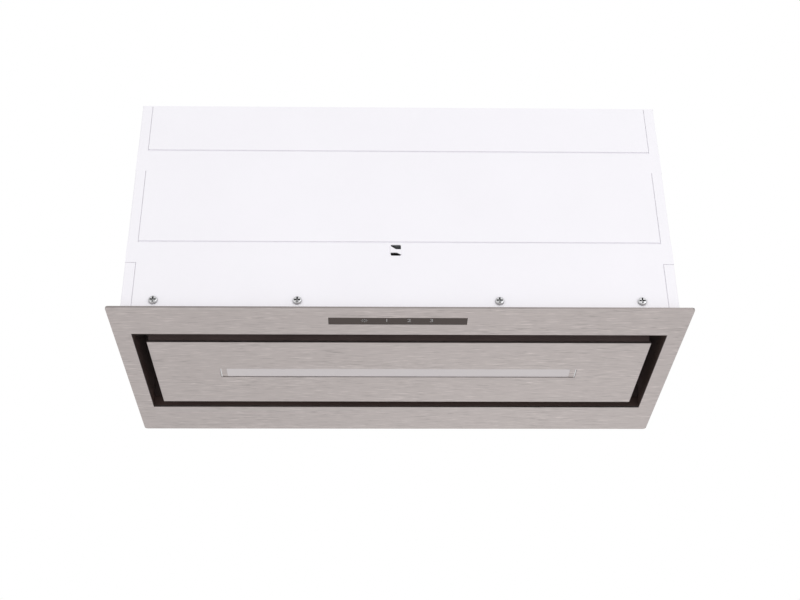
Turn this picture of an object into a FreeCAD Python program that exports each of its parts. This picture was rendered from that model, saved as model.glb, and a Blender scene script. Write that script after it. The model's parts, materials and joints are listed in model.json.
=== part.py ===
"""Built-in range hood with perimeter suction: trim frame, drop-down panel, casing, filter, blower, collar.

Lengths are millimetres and angles are degrees.
X runs to the right seen from the front, -Y is the front and +Z is up.
The origin is the middle of the rim's seat, the plane where the trim frame meets the underside of a cabinet.
"""
import FreeCAD, Part
import math
import os
from FreeCAD import Vector

# Fits that serve the whole assembly
overrun = 2.0
running_fit = 0.05
fixed_fit = 0.02
seat_gap = 0.3
match_tolerance = 1e-6

# Trim frame: one stainless sheet with a hemmed rim and lips turned up round its opening
frame_width = 520.0
frame_depth = 247.0
frame_sheet = 0.8
frame_corner_radius = 3.0
frame_side_band = 16.0
frame_front_band = 47.7
frame_rear_band = 50.1
frame_lip_height = 12.0
frame_bend_radius = 0.6
rim_hem_width = 6.0

# Casing: painted sheet steel standing on the trim frame, its front made of three tiers
casing_side_inset = 11.6
casing_front_inset = 8.0
casing_rear_inset = 11.0
casing_height = 231.5
casing_sheet = 1.0
casing_bend_radius = 1.5
side_flange_width = 20.0
flange_reveal = 10.0
seam_gap = 2.0
side_seam_gap = 0.5
lap_below = 1.2
lap_above = 8.0
lap_end_gap = 0.1
lower_ear_height = 52.1
lower_tier_height = 73.5
middle_ear_height = 153.8
middle_tier_height = 176.9
top_flange_height = 15.0

# Key slots and the slanted bridge between them, pressed in the lower front sheet
key_width = 9.3
key_offset = -4.4
key_bottom_height = 60.1
key_top_height = 71.9
key_corner_radius = 1.2
bridge_bottom_height = 62.9
bridge_top_height = 66.3
bridge_rise = 1.2
bridge_left_gap = 2.2
bridge_right_gap = 0.8
bridge_upper_share = 0.5
bridge_lower_share = 0.6

# Angles welded along the frame, which take the screws of the casing's lower edge
angle_sheet = 1.0
angle_leg_height = 20.0
angle_foot_depth = 8.0
angle_end_gap = 1.0

# Pan-head screws
screw_radius = 2.0
screw_hole_clearance = 0.1
screw_head_radius = 4.0
screw_head_height = 2.2
screw_head_round = 1.3
screw_length = 8.0
screw_recess_length = 5.6
screw_recess_width = 1.4
screw_recess_depth = 1.5
edge_screw_height = 12.2
edge_screw_shift = -2.3
outer_screw_inset = 30.9
inner_screw_offset = 90.0
back_screw_inset = 10.0
back_screw_height_shares = (0.22, 0.55, 0.9)
side_screw_offset = 70.0
side_screw_drop = 8.0

# Holes in the casing's sides for the screws that fix it to a cabinet
fixing_hole_radius = 2.5
fixing_hole_spacing = 150.0
fixing_hole_height = 110.0

# Touch control let into the front band of the frame
touch_width = 124.0
touch_depth = 11.7
touch_setback = 16.95
touch_offset = -2.7
touch_recess = 0.2
touch_glass_thickness = 2.0
touch_fit = 0.2
control_wall = 1.5
control_margin = 3.0
control_height = 16.0
control_board_thickness = 1.6
control_board_fit = 0.4
control_clearance = 0.5

# Collector tray: the dark chamber above the opening, with a window for the filter
tray_sheet = 1.0
tray_height = 45.0
tray_lip_gap = 0.9
filter_window_margin = 10.0

# Drop-down perimeter panel: stainless skin, painted back pan and light
panel_front_gap = 15.5
panel_rear_gap = 12.8
panel_side_gap = 11.6
panel_return_height = 1.2
panel_bend_radius = 0.7
pan_inset = 1.2
pan_sheet = 1.0
pan_height = 12.4
pan_notch_width = 24.0
pan_notch_depth = 24.0

# Light in the panel
light_length = 340.5
light_depth = 17.0
light_offset = -0.9
light_recess = 0.6
light_fit = 0.3
lens_thickness = 1.5
lens_flange = 4.0
channel_wall = 1.5
channel_height = 9.0
channel_fit = 0.4
light_board_thickness = 1.2
light_board_depth = 12.0
diode_size = 3.0
diode_thickness = 0.8
diode_count = 24

# Hinges at the rear of the panel
hinge_inset = 7.1
hinge_height = 15.6
hinge_eye_radius = 6.0
hinge_pin_radius = 2.5
hinge_pin_head_radius = 4.0
hinge_pin_head_thickness = 1.5
hinge_ear_thickness = 2.0
hinge_ear_length = 12.0
hinge_leg_thickness = 2.0
hinge_leg_gap = 1.0
hinge_foot_width = 14.0
hinge_foot_overhang = 6.0
hinge_foot_thickness = 1.5

# Magnetic catches at the front of the panel
catch_offset = 150.0
catch_width = 28.0
catch_height = 12.0
strike_length = 24.0
strike_depth = 10.0
strike_thickness = 1.0
magnet_radius = 4.0
magnet_height = 6.0

# Grease filter under the tray's window, on a rear ledge and a sprung front latch
filter_side_gap = 44.0
filter_end_gap = 6.3
filter_thickness = 9.0
filter_wall = 1.0
filter_rim = 8.0
mesh_sheet = 0.5
mesh_layers = 3
mesh_columns = 24
mesh_rows = 9
mesh_hole_share = 0.78
ledge_sheet = 1.5
ledge_reach = 4.0
ledge_end_gap = 10.0
ledge_drop = 0.2
catch_plate_width = 40.0
catch_plate_reach = 6.0
latch_width = 24.0
latch_thickness = 3.0
latch_clearance = 0.3
latch_tongue_gap = 3.0
latch_guide_length = 26.0
latch_guide_wall = 4.0
latch_guide_floor = 1.5
latch_tail = 6.0
latch_tab_drop = 8.0
latch_tab_thickness = 3.0

# Blower: a double-inlet wheel on a motor inside a sheet-metal scroll, its axis along X
blower_front_share = 3 / 26
blower_floor_gap = 6.0
scroll_front_radius = 74.0
scroll_floor_radius = 82.0
scroll_rear_radius = 90.0
scroll_width = 104.0
scroll_sheet = 1.0
scroll_foot_length = 120.0
scroll_foot_width = 14.0
inlet_radius = 54.0
inlet_ring_width = 6.0
inlet_ring_depth = 4.5
inlet_ring_lip = 4.0
wheel_radius = 64.0
wheel_width = 96.0
wheel_blade_depth = 12.0
wheel_blade_thickness = 1.0
wheel_blade_angle = 35.0
wheel_blade_count = 36
wheel_ring_thickness = 2.0
wheel_disc_thickness = 2.0
wheel_hub_radius = 10.0
wheel_hub_length = 14.0
shaft_radius = 4.0
shaft_reach = 22.0
motor_radius = 40.0
motor_wheel_gap = 3.0
motor_bearing_radius = 9.0
motor_bearing_length = 2.0
bracket_sheet = 2.0
bracket_hub_radius = 30.0
bracket_arm_width = 16.0
bush_radius = 6.0
bush_length = 5.0
bush_circle_radius = 66.0
bush_angles = (90.0, 210.0, 330.0)

# Electrical box, run capacitor and cable gland
terminal_box_width = 90.0
terminal_box_depth = 60.0
terminal_box_height = 40.0
terminal_box_wall = 2.0
terminal_box_side_inset = 84.0
terminal_box_rear_inset = 64.0
terminal_lid_thickness = 2.0
terminal_block_width = 60.0
terminal_block_depth = 18.0
terminal_block_height = 16.0
capacitor_radius = 15.0
capacitor_length = 50.0
capacitor_side_inset = 99.0
capacitor_front_inset = 69.0
gland_side_inset = 59.0
gland_rear_inset = 34.0
gland_thread_radius = 8.0
gland_thread_length = 10.0
gland_head_radius = 11.0
gland_head_height = 8.0
gland_bore_radius = 4.2
gland_nut_height = 5.0
gland_hole_clearance = 0.2

# Duct collar on the top, with a two-flap damper
collar_radius = 74.5
collar_wall = 2.0
collar_height = 40.0
collar_flange_width = 13.0
collar_flange_thickness = 2.0
collar_rear_gap = 8.5
collar_screw_edge = 4.6
collar_screw_count = 4
damper_height = 20.0
damper_rod_radius = 1.5
damper_rod_end_gap = 0.6
damper_flap_thickness = 1.5
damper_flap_gap = 1.0
damper_root_gap = 0.6
damper_knuckle_wall = 1.5
damper_knuckle_length = 14.0
damper_knuckle_pitch = 16.0
damper_stop_width = 4.5
damper_stop_thickness = 2.0

# Levels
seat_z = 0.0
deck_z = seat_z - frame_sheet
face_z = deck_z - frame_sheet
casing_top = face_z + casing_height
tray_under = deck_z + tray_height
tray_top = tray_under + tray_sheet
pan_top = deck_z + pan_height
filter_under = tray_under - filter_thickness

# Plan of the frame's opening and the panel in it
opening_x = frame_width / 2 - frame_side_band
opening_front = frame_front_band - frame_depth / 2
opening_rear = frame_depth / 2 - frame_rear_band
panel_x = opening_x - panel_side_gap
panel_front = opening_front + panel_front_gap
panel_rear = opening_rear - panel_rear_gap
light_y = (panel_front + panel_rear) / 2 + light_offset
pan_x = panel_x - pan_inset
pan_rear_x = pan_x - pan_notch_width
pan_front = panel_front + pan_inset
pan_rear = panel_rear - pan_inset

# Plan of the casing: outer faces of the sides, and both faces of the front and back sheets
casing_x = frame_width / 2 - casing_side_inset
front_face = casing_front_inset - frame_depth / 2
front_inner = front_face + casing_sheet
back_face = frame_depth / 2 - casing_rear_inset
back_inner = back_face - casing_sheet
casing_y = (front_face + back_face) / 2

# Tray skirt, the wall that stands round the frame's lips
skirt_x = opening_x + frame_sheet + tray_lip_gap
skirt_front = opening_front - frame_sheet - tray_lip_gap
skirt_rear = opening_rear + frame_sheet + tray_lip_gap

# Plan of the filter, which fits inside the opening
filter_width = 2 * (opening_x - filter_side_gap)
filter_depth = opening_rear - opening_front - 2 * filter_end_gap
filter_y = (opening_front + opening_rear) / 2
ledge_length = filter_width - 2 * ledge_end_gap

# Hinge line of the panel
hinge_y = panel_rear - hinge_inset
hinge_z = face_z + hinge_height
ear_x = pan_rear_x
leg_x = ear_x + hinge_ear_thickness + hinge_leg_gap

# Touch control
touch_y = touch_setback + touch_depth / 2 - frame_depth / 2
touch_under = face_z + touch_recess
touch_top = touch_under + touch_glass_thickness

# Blower axis and the scroll's mouth; the spare depth in the casing is shared out before and behind the scroll
scroll_depth = scroll_floor_radius + scroll_rear_radius + 2 * scroll_sheet
scroll_front = front_inner + blower_front_share * (back_inner - front_inner - scroll_depth)
blower_y = scroll_front + scroll_sheet + scroll_front_radius
blower_z = tray_top + blower_floor_gap + scroll_floor_radius
scroll_floor_y = blower_y + scroll_floor_radius - scroll_front_radius
scroll_rear_z = blower_z + scroll_rear_radius - scroll_floor_radius
scroll_rear_y = scroll_floor_y + scroll_rear_radius
scroll_x = scroll_width / 2
plate_x = scroll_x + scroll_sheet
wheel_x = wheel_width / 2
motor_right = -wheel_hub_length / 2 - motor_wheel_gap
motor_left = -plate_x - bush_length

# Electrical pieces
terminal_box_x = casing_x - terminal_box_side_inset
terminal_box_y = back_face - terminal_box_rear_inset
capacitor_x = casing_x - capacitor_side_inset
capacitor_y = front_face + capacitor_front_inset
gland_x = casing_x - gland_side_inset
gland_y = back_face - gland_rear_inset

# Duct collar and damper
collar_y = back_inner - collar_rear_gap - collar_flange_width - collar_radius
collar_inner = collar_radius - collar_wall
collar_foot = casing_top + collar_flange_thickness
collar_top = casing_top + collar_height
damper_z = casing_top + damper_height
knuckle_radius = damper_rod_radius + running_fit + damper_knuckle_wall


def centred(width, middle=0):
    """The low and high ends of a width about its middle."""
    return (middle - width / 2, middle + width / 2)


def block(x_span, y_span, z_span):
    """A box between the low and high ends given on each axis."""
    size = [high - low for low, high in (x_span, y_span, z_span)]
    return Part.makeBox(*size, Vector(x_span[0], y_span[0], z_span[0]))


def drum(radius, start, end):
    """A cylinder from one point to another."""
    start = Vector(*start)
    along = Vector(*end) - start
    return Part.makeCylinder(radius, along.Length, start, along)


def mirrored(shape):
    """The same piece on the other side of the middle plane."""
    return shape.mirror(Vector(0, 0, 0), Vector(1, 0, 0))


def pair(shape):
    """A piece and its twin on the other side."""
    return [shape, mirrored(shape)]


def prism(points, along):
    """A straight-sided outline, drawn out along a vector."""
    wire = Part.makePolygon([Vector(*point) for point in points + points[:1]])
    return Part.Face(wire).extrude(Vector(*along))


def edges_whose(shape, holds):
    """The edges whose every end satisfies a test on its point."""
    return [edge for edge in shape.Edges if all(holds(end.Point) for end in edge.Vertexes)]


def near(value, target):
    return abs(value - target) < match_tolerance


def rounded(shape, radius, holds):
    return shape.makeFillet(radius, edges_whose(shape, holds))


def edges_along(shape, way):
    """The edges whose ends lie apart along one direction alone."""
    found = []
    for edge in shape.Edges:
        reach = edge.Vertexes[-1].Point - edge.Vertexes[0].Point
        if reach.Length > match_tolerance and reach.cross(Vector(*way)).Length < match_tolerance:
            found.append(edge)
    return found


def placed(shape, point, direction):
    """A piece drawn along +Z at the origin, set at a point and turned to a direction."""
    moved = shape.copy()
    turn = FreeCAD.Rotation(Vector(0, 0, 1), Vector(*direction))
    moved.Placement = FreeCAD.Placement(Vector(*point), turn)
    return moved


def save(node, *solids):
    shape = solids[0] if len(solids) == 1 else Part.makeCompound(list(solids))
    shape.exportStep(f"parts/{node}.step")
    print(node, len(shape.Solids), round(shape.Volume, 1), shape.isValid())


# Screws

def pan_screw():
    """A pan-head screw with a cross recess, its head's seat at z = 0 and its shank below."""
    head = Part.makeCylinder(screw_head_radius, screw_head_height)
    head = rounded(head, screw_head_round, lambda end: near(end.z, screw_head_height))
    shank = drum(screw_radius, (0, 0, 0), (0, 0, -screw_length))
    depth = (screw_head_height - screw_recess_depth, screw_head_height + overrun)
    recess = block(centred(screw_recess_length), centred(screw_recess_width), depth)
    recess = recess.fuse(block(centred(screw_recess_width), centred(screw_recess_length), depth))
    return head.fuse(shank).cut(recess).removeSplitter()


def screw_hole(point, direction):
    """The hole of a screw through the sheets that it joins."""
    radius = screw_radius + screw_hole_clearance
    hole = drum(radius, (0, 0, overrun), (0, 0, -screw_length - overrun))
    return placed(hole, point, direction)


def edge_screw_points(y):
    height = face_z + edge_screw_height
    offsets = (casing_x - outer_screw_inset, inner_screw_offset)
    return [(edge_screw_shift + side * offset, y, height) for side in (-1, 1) for offset in offsets]


def back_screw_points():
    x = casing_x - back_screw_inset
    heights = [deck_z + share * casing_height for share in back_screw_height_shares]
    return [(side * x, back_face, height) for side in (-1, 1) for height in heights]


def side_screw_points(side):
    height = casing_top - casing_sheet - side_screw_drop
    return [(side * casing_x, y, height) for y in (-side_screw_offset, side_screw_offset)]


def collar_screw_points():
    radius = collar_radius + collar_flange_width - collar_screw_edge
    turns = [2 * math.pi * (index + 0.5) / collar_screw_count for index in range(collar_screw_count)]
    return [(radius * math.cos(turn), collar_y + radius * math.sin(turn), collar_foot) for turn in turns]


front_way = (0, -1, 0)
back_way = (0, 1, 0)
up_way = (0, 0, 1)
front_holes = [screw_hole(point, front_way) for point in edge_screw_points(front_face)]
back_holes = [screw_hole(point, back_way) for point in edge_screw_points(back_face) + back_screw_points()]
side_holes = [screw_hole(point, (side, 0, 0)) for side in (-1, 1) for point in side_screw_points(side)]
collar_holes = [screw_hole(point, up_way) for point in collar_screw_points()]


# Trim frame and its angles

def control_block(margin, z_span):
    """A box round the touch glass, wider than it by a margin on every side."""
    width = touch_width + 2 * margin
    return block(centred(width, touch_offset), centred(touch_depth + 2 * margin, touch_y), z_span)


def opening_block(z_span, grow=0):
    x_span = (-opening_x - grow, opening_x + grow)
    return block(x_span, (opening_front - grow, opening_rear + grow), z_span)


def frame_blank(z_span):
    """The frame's outline with its rounded corners, between two levels."""
    blank = block(centred(frame_width), centred(frame_depth), z_span)
    return blank.makeFillet(frame_corner_radius, edges_along(blank, up_way))


def in_opening(end):
    inside = opening_front - match_tolerance < end.y < opening_rear + match_tolerance
    return near(end.z, face_z) and inside and abs(end.x) < opening_x + match_tolerance


def trim_frame():
    hem_inside = (frame_width - 2 * rim_hem_width, frame_depth - 2 * rim_hem_width)
    hem = frame_blank((deck_z, seat_z)).cut(
        block(centred(hem_inside[0]), centred(hem_inside[1]), (deck_z, seat_z)))
    lips = opening_block((deck_z, deck_z + frame_lip_height), frame_sheet)
    slot = control_block(touch_fit, (face_z - overrun, seat_z))
    cuts = [opening_block((face_z - overrun, deck_z + frame_lip_height + overrun)), slot]
    frame = frame_blank((face_z, deck_z)).fuse([hem, lips]).cut(cuts).removeSplitter()
    return rounded(frame, frame_bend_radius, in_opening)


def edge_angle():
    """An angle along the front: a leg behind the casing's sheet and a foot on the frame."""
    x = casing_x - side_flange_width - angle_end_gap
    leg = block((-x, x), (front_inner, front_inner + angle_sheet), (deck_z, deck_z + angle_leg_height))
    foot = block((-x, x), (front_inner, front_inner + angle_foot_depth), (deck_z, deck_z + angle_sheet))
    return leg.fuse(foot).removeSplitter()


def front_angle():
    """The front angle, its foot cut clear of the control's housing."""
    room = control_block(control_margin + control_clearance, (deck_z - overrun, deck_z + angle_leg_height))
    behind_leg = block(
        (-casing_x, casing_x), (front_inner + angle_sheet, touch_y),
        (deck_z - overrun, deck_z + angle_leg_height))
    return edge_angle().cut([room.common(behind_leg)] + front_holes)


def rear_angle():
    return edge_angle().mirror(Vector(0, casing_y, 0), Vector(0, 1, 0)).cut(back_holes)


# Casing

def front_sheet(x, z_span):
    return block((-x, x), (front_face, front_inner), z_span)


def tier(bottom, ear, top):
    """A front sheet between two levels: narrow below its ear, full width above."""
    narrow = front_sheet(casing_x - flange_reveal, (bottom, top))
    return narrow.fuse(front_sheet(casing_x, (ear, top))).removeSplitter()


def seam_lap(top):
    """A strip behind a sheet's upper edge, which the next sheet laps over."""
    x = casing_x - side_flange_width - lap_end_gap
    z_span = (top - lap_below, top + seam_gap + lap_above)
    return block((-x, x), (front_inner, front_inner + casing_sheet), z_span)


def key_bridge():
    """A strip pressed forward between the two key slots, its left end high and its right end low."""
    out = front_face - bridge_rise
    left = key_offset - key_width / 2
    right = key_offset + key_width / 2
    plan = [
        (left - bridge_rise, front_face), (left, out), (right, out), (right + bridge_rise, front_face),
        (right + bridge_rise, front_inner), (right, front_inner - bridge_rise),
        (left, front_inner - bridge_rise), (left - bridge_rise, front_inner),
    ]
    left_top = key_top_height - bridge_left_gap
    right_bottom = key_bottom_height + bridge_right_gap
    view = [
        (left - bridge_rise, bridge_bottom_height),
        (left + bridge_lower_share * key_width, bridge_bottom_height), (right, right_bottom),
        (right + bridge_rise, right_bottom), (right + bridge_rise, bridge_top_height),
        (left + bridge_upper_share * key_width, bridge_top_height), (left, left_top),
        (left - bridge_rise, left_top),
    ]
    foot = face_z + key_bottom_height
    band = prism([(x, y, foot) for x, y in plan], (0, 0, key_top_height - key_bottom_height))
    return band.common(prism([(x, out, face_z + height) for x, height in view], (0, front_inner - out, 0)))


def front_lower_panel():
    top = face_z + lower_tier_height
    panel = tier(deck_z, face_z + lower_ear_height, top).fuse(seam_lap(top))
    slots = block(
        centred(key_width, key_offset), (front_face - overrun, front_inner + overrun),
        (face_z + key_bottom_height, face_z + key_top_height))
    slots = slots.makeFillet(key_corner_radius, edges_along(slots, back_way))
    return panel.cut([slots] + front_holes).fuse(key_bridge()).removeSplitter()


def front_middle_panel():
    bottom = face_z + lower_tier_height + seam_gap
    top = face_z + middle_tier_height
    return tier(bottom, face_z + middle_ear_height, top).fuse(seam_lap(top)).removeSplitter()


def front_upper_panel():
    bottom = face_z + middle_tier_height + seam_gap
    return front_sheet(casing_x - flange_reveal, (bottom, casing_top - casing_sheet))


def sheet_pockets(flange_x, z_span):
    """The room of the front sheets and their ears in a side's front flange, with narrow seams beside them."""
    y_span = (front_face - overrun, front_inner)
    seam_x = casing_x - flange_reveal + side_seam_gap
    ears = [(lower_ear_height - side_seam_gap, lower_tier_height), (middle_ear_height, middle_tier_height)]
    pockets = [block((flange_x - overrun, seam_x), y_span, z_span)]
    for bottom, top in ears:
        ear_span = (face_z + bottom, face_z + top)
        pockets.append(block((flange_x - overrun, casing_x + overrun), y_span, ear_span))
    return pockets


def right_side_panel():
    """A side wall with flanges turned in, the front one set back behind the front sheets."""
    web_x = casing_x - casing_sheet
    flange_x = casing_x - side_flange_width
    z_span = (deck_z, casing_top - casing_sheet)
    outer = block((flange_x, casing_x), (front_face, back_inner), z_span)
    corners = [edge for edge in edges_along(outer, up_way) if near(edge.Vertexes[0].X, casing_x)]
    outer = outer.makeFillet(casing_bend_radius, corners)
    inner_span = (front_inner + casing_sheet, back_inner - casing_sheet)
    hollow = block((flange_x - overrun, web_x), inner_span, z_span)
    level = face_z + fixing_hole_height
    fixings = [
        drum(fixing_hole_radius, (web_x - overrun, y, level), (casing_x + overrun, y, level))
        for y in centred(fixing_hole_spacing)
    ]
    return outer.cut([hollow] + sheet_pockets(flange_x, z_span) + fixings + side_holes + back_holes)


def back_panel():
    sheet = block((-casing_x, casing_x), (back_inner, back_face), (deck_z, casing_top - casing_sheet))
    return sheet.cut(back_holes)


def top_panel():
    """The lid, with flanges turned down inside the two sides."""
    plate = block((-casing_x, casing_x), (front_face, back_face), (casing_top - casing_sheet, casing_top))
    flange_x = casing_x - casing_sheet
    depth = (front_inner + side_flange_width, back_inner - side_flange_width)
    flange = block(
        (flange_x - casing_sheet, flange_x), depth, (casing_top - top_flange_height, casing_top))
    below = casing_top - casing_sheet - overrun
    outlet = drum(collar_inner, (0, collar_y, below), (0, collar_y, casing_top + overrun))
    gland = drum(
        gland_thread_radius + gland_hole_clearance, (gland_x, gland_y, below),
        (gland_x, gland_y, casing_top + overrun))
    return plate.fuse(pair(flange)).cut([outlet, gland] + side_holes + collar_holes).removeSplitter()


# Touch control

def touch_glass():
    return control_block(0, (touch_under, touch_top))


def control_board():
    margin = control_margin - control_wall - control_board_fit
    return control_block(margin, (touch_top, touch_top + control_board_thickness))


def control_housing():
    hollow = (deck_z - overrun, deck_z + control_height - control_wall)
    outer = control_block(control_margin, (deck_z, deck_z + control_height))
    return outer.cut(control_block(control_margin - control_wall, hollow))


# Collector tray

def filter_window(z_span, margin):
    return block(
        centred(filter_width - 2 * margin), centred(filter_depth - 2 * margin, filter_y), z_span)


def collector_tray():
    outer_x = skirt_x + tray_sheet
    skirt = block(
        (-outer_x, outer_x), (skirt_front - tray_sheet, skirt_rear + tray_sheet), (deck_z, tray_top))
    roof_y = (front_inner + casing_sheet, back_inner - casing_sheet)
    roof = block((-outer_x, outer_x), roof_y, (tray_under, tray_top))
    hollow = block((-skirt_x, skirt_x), (skirt_front, skirt_rear), (deck_z - overrun, tray_under))
    window = filter_window((tray_under - overrun, tray_top + overrun), filter_window_margin)
    return skirt.fuse(roof).cut([hollow, window]).removeSplitter()


# Perimeter panel

def panel_skin():
    top = deck_z + panel_return_height
    outer = block((-panel_x, panel_x), (panel_front, panel_rear), (face_z, top))

    def outer_edge(end):
        at_side = near(abs(end.x), panel_x)
        at_end = near(end.y, panel_front) or near(end.y, panel_rear)
        return at_side and at_end

    edges = [
        edge for edge in edges_whose(outer, outer_edge)
        if not all(near(end.Z, top) for end in edge.Vertexes)
    ]
    outer = outer.makeFillet(panel_bend_radius, edges)
    hollow = block(
        (frame_sheet - panel_x, panel_x - frame_sheet),
        (panel_front + frame_sheet, panel_rear - frame_sheet), (deck_z, top + overrun))
    slot = block(centred(light_length), centred(light_depth, light_y), (face_z - overrun, deck_z + overrun))
    return outer.cut([hollow, slot])


def pan_outline(inset, z_span):
    """The pan's plan, narrower at the rear where the hinges stand."""
    notch_y = pan_rear - pan_notch_depth
    front = block((inset - pan_x, pan_x - inset), (pan_front + inset, notch_y - inset), z_span)
    rear = block((inset - pan_rear_x, pan_rear_x - inset), (pan_front + inset, pan_rear - inset), z_span)
    return front.fuse(rear).removeSplitter()


def panel_back_pan():
    outer = pan_outline(0, (deck_z, pan_top))
    return outer.cut(pan_outline(pan_sheet, (deck_z - overrun, pan_top - pan_sheet)))


def light_lens():
    """An opal lens in the skin's slot, with a flange above the skin."""
    lens = block(
        centred(light_length - 2 * light_fit), centred(light_depth - 2 * light_fit, light_y),
        (face_z + light_recess, deck_z + lens_thickness))
    flange = block(
        centred(light_length + 2 * lens_flange), centred(light_depth + 2 * lens_flange, light_y),
        (deck_z, deck_z + lens_thickness))
    return lens.fuse(flange).removeSplitter()


def light_channel():
    inner_length = light_length + 2 * (lens_flange + channel_fit)
    inner_depth = light_depth + 2 * (lens_flange + channel_fit)
    outer = block(
        centred(inner_length + 2 * channel_wall), centred(inner_depth + 2 * channel_wall, light_y),
        (deck_z, deck_z + channel_height))
    hollow = block(
        centred(inner_length), centred(inner_depth, light_y),
        (deck_z - overrun, deck_z + channel_height - channel_wall))
    return outer.cut(hollow)


def light_board():
    """A strip of diodes under the channel's web."""
    top = deck_z + channel_height - channel_wall
    under = top - light_board_thickness
    board = block(centred(light_length), centred(light_board_depth, light_y), (under, top))
    pitch = light_length / diode_count
    diodes = [
        block(
            centred(diode_size, pitch * (index + 0.5) - light_length / 2), centred(diode_size, light_y),
            (under - diode_thickness, under))
        for index in range(diode_count)
    ]
    return board.fuse(diodes)


# Hinges and catches of the panel

def hinge_bore(radius):
    start = (ear_x - overrun, hinge_y, hinge_z)
    return drum(radius, start, (leg_x + hinge_leg_thickness + overrun, hinge_y, hinge_z))


def hinge_ear():
    """A plate on the pan's end wall with an eye round the pin."""
    x_span = (ear_x, ear_x + hinge_ear_thickness)
    foot = block(x_span, (hinge_y - hinge_ear_length, pan_rear), (deck_z, pan_top))
    neck = block(x_span, (hinge_y - hinge_eye_radius, pan_rear), (deck_z, hinge_z))
    eye = drum(hinge_eye_radius, (x_span[0], hinge_y, hinge_z), (x_span[1], hinge_y, hinge_z))
    return foot.fuse([neck, eye]).cut(hinge_bore(hinge_pin_radius + running_fit)).removeSplitter()


def hinge_bracket():
    """A leg hung from the tray's roof, with an eye that holds the pin."""
    x_span = (leg_x, leg_x + hinge_leg_thickness)
    y_span = centred(2 * hinge_eye_radius, hinge_y)
    leg = block(x_span, y_span, (hinge_z, tray_under))
    eye = drum(hinge_eye_radius, (x_span[0], hinge_y, hinge_z), (x_span[1], hinge_y, hinge_z))
    foot = block(
        (leg_x, leg_x + hinge_foot_width),
        (y_span[0] - hinge_foot_overhang, y_span[1] + hinge_foot_overhang),
        (tray_under - hinge_foot_thickness, tray_under))
    return leg.fuse([eye, foot]).cut(hinge_bore(hinge_pin_radius + fixed_fit)).removeSplitter()


def hinge_pin():
    head_x = leg_x + hinge_leg_thickness
    pin = drum(hinge_pin_radius, (ear_x, hinge_y, hinge_z), (head_x, hinge_y, hinge_z))
    head = drum(
        hinge_pin_head_radius, (head_x, hinge_y, hinge_z),
        (head_x + hinge_pin_head_thickness, hinge_y, hinge_z))
    return pin.fuse(head).removeSplitter()


strike_top = pan_top + strike_thickness
strike_y = pan_front + strike_depth / 2
catch_under = strike_top + seat_gap


def strike_plate():
    return block(
        centred(strike_length, catch_offset), centred(strike_depth, strike_y), (pan_top, strike_top))


def magnet_bore(radius, height):
    start = (catch_offset, strike_y, catch_under)
    return drum(radius, start, (catch_offset, strike_y, catch_under + height))


def magnet_catch():
    """A block on the skirt's front wall that reaches over the panel's strike plate."""
    body = block(
        centred(catch_width, catch_offset), (skirt_front, pan_front + strike_depth),
        (catch_under, catch_under + catch_height))
    return body.cut(magnet_bore(magnet_radius + fixed_fit, magnet_height))


def catch_magnet():
    return magnet_bore(magnet_radius, magnet_height)


# Grease filter

def filter_frame():
    """A channel frame open above and below inside its rim."""
    outer = filter_window((filter_under, tray_under), 0)
    through = filter_window((filter_under - overrun, tray_under + overrun), filter_rim)
    hollow = filter_window((filter_under + filter_wall, tray_under - filter_wall), filter_wall)
    return outer.cut([through, hollow])


def mesh_layer(level):
    """An expanded sheet with a grid of openings."""
    width = filter_width - 2 * filter_rim
    depth = filter_depth - 2 * filter_rim
    pitch_x = width / mesh_columns
    pitch_y = depth / mesh_rows
    sheet = filter_window((level, level + mesh_sheet), filter_wall + fixed_fit)
    half_x = pitch_x * mesh_hole_share / 2
    half_y = pitch_y * mesh_hole_share / 2
    holes = []
    for column in range(mesh_columns):
        for row in range(mesh_rows):
            x = pitch_x * (column + 0.5) - width / 2
            y = filter_y + pitch_y * (row + 0.5) - depth / 2
            corners = [(x - half_x, y), (x, y - half_y), (x + half_x, y), (x, y + half_y)]
            holes.append(prism([corner + (level,) for corner in corners], (0, 0, mesh_sheet)))
    return sheet.cut(Part.makeCompound(holes))


def filter_mesh():
    room = filter_thickness - 2 * filter_wall - mesh_sheet
    low = filter_under + filter_wall
    return [mesh_layer(low + room * index / (mesh_layers - 1)) for index in range(mesh_layers)]


def filter_ledge():
    """An angle on the skirt's rear wall that carries the filter's rear edge."""
    top = filter_under - ledge_drop
    filter_rear = filter_y + filter_depth / 2
    reach = block(
        centred(ledge_length), (filter_rear - ledge_reach, skirt_rear), (top - ledge_sheet, top))
    leg = block(
        centred(ledge_length), (skirt_rear - ledge_sheet, skirt_rear), (top - ledge_sheet, tray_under))
    return reach.fuse(leg).removeSplitter()


latch_top = filter_under - latch_clearance
latch_under = latch_top - latch_thickness
latch_front = skirt_front + latch_tongue_gap
guide_front = filter_y - filter_depth / 2 + filter_wall
guide_rear = guide_front + latch_guide_length
latch_rear = guide_rear + latch_tail


def latch_catch():
    """An angle on the skirt's front wall that the latch's tongue rests on."""
    top = latch_under - latch_clearance
    shelf = block(
        centred(catch_plate_width), (skirt_front, skirt_front + catch_plate_reach), (top - ledge_sheet, top))
    leg = block(
        centred(catch_plate_width), (skirt_front, skirt_front + ledge_sheet), (top - ledge_sheet, tray_under))
    return shelf.fuse(leg).removeSplitter()


def latch_guide():
    """A channel under the filter in which the latch slides."""
    room = latch_width + 2 * latch_clearance
    floor = latch_under - latch_clearance
    body = block(
        centred(room + 2 * latch_guide_wall), (guide_front, guide_rear),
        (floor - latch_guide_floor, filter_under))
    run = (guide_front - overrun, guide_rear + overrun)
    return body.cut(block(centred(room), run, (floor, filter_under)))


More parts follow.
